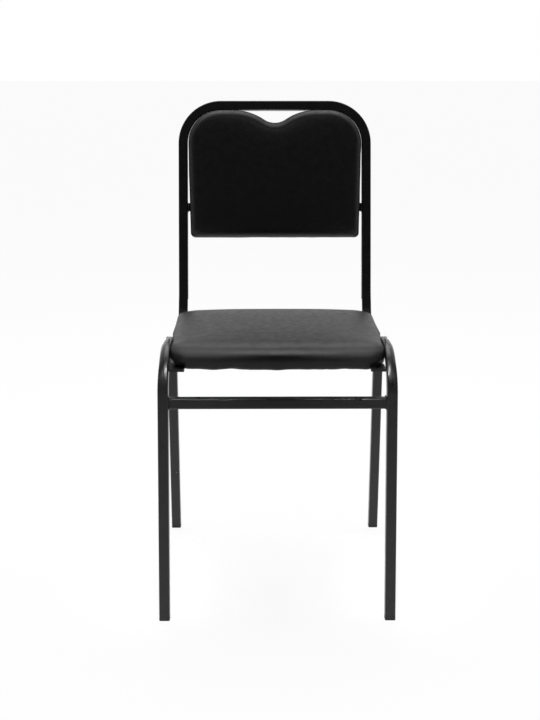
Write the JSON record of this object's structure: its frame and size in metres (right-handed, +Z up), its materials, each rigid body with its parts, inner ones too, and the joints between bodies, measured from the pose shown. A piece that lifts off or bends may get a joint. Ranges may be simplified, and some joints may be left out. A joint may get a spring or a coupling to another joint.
{
  "type": "stacking visitor chair",
  "caption": "Armless stacking chair: bent square steel tube frame with a padded vinyl seat and a padded back that dips under the top rail as a hand grip.",
  "frame": {"origin": "on the floor, in the middle of the overall width and of the overall depth", "axes": "+Z up, +X to the right of someone who looks at the front, +Y to the rear; the sitter faces -Y"},
  "size_m": [0.4228, 0.5441, 0.8616],
  "materials": {
    "frame_paint": "semi-gloss fine-textured powder coat",
    "foot_plastic": "matte moulded",
    "vinyl": "matte fine-grain vinyl over foam",
    "plywood": "black-stained plywood",
    "screw_steel": "black zinc"
  },
  "bodies": {
    "root": {"back_board": "plywood", "back_hoop": "frame_paint", "back_pad": "vinyl", "back_screws": "screw_steel", "front_stretcher": "frame_paint", "left_front_foot": "foot_plastic", "left_rear_foot": "foot_plastic", "left_rear_leg": "frame_paint", "left_rear_leg_plug": "foot_plastic", "left_seat_tab": "frame_paint", "left_side_lug": "frame_paint", "left_side_tube": "frame_paint", "left_top_lug": "frame_paint", "rear_cross_rail": "frame_paint", "right_front_foot": "foot_plastic", "right_rear_foot": "foot_plastic", "right_rear_leg": "frame_paint", "right_rear_leg_plug": "foot_plastic", "right_seat_tab": "frame_paint", "right_side_lug": "frame_paint", "right_side_tube": "frame_paint", "right_top_lug": "frame_paint", "seat_board": "plywood", "seat_pad": "vinyl", "seat_screws": "screw_steel"}
  },
  "joints": []
}
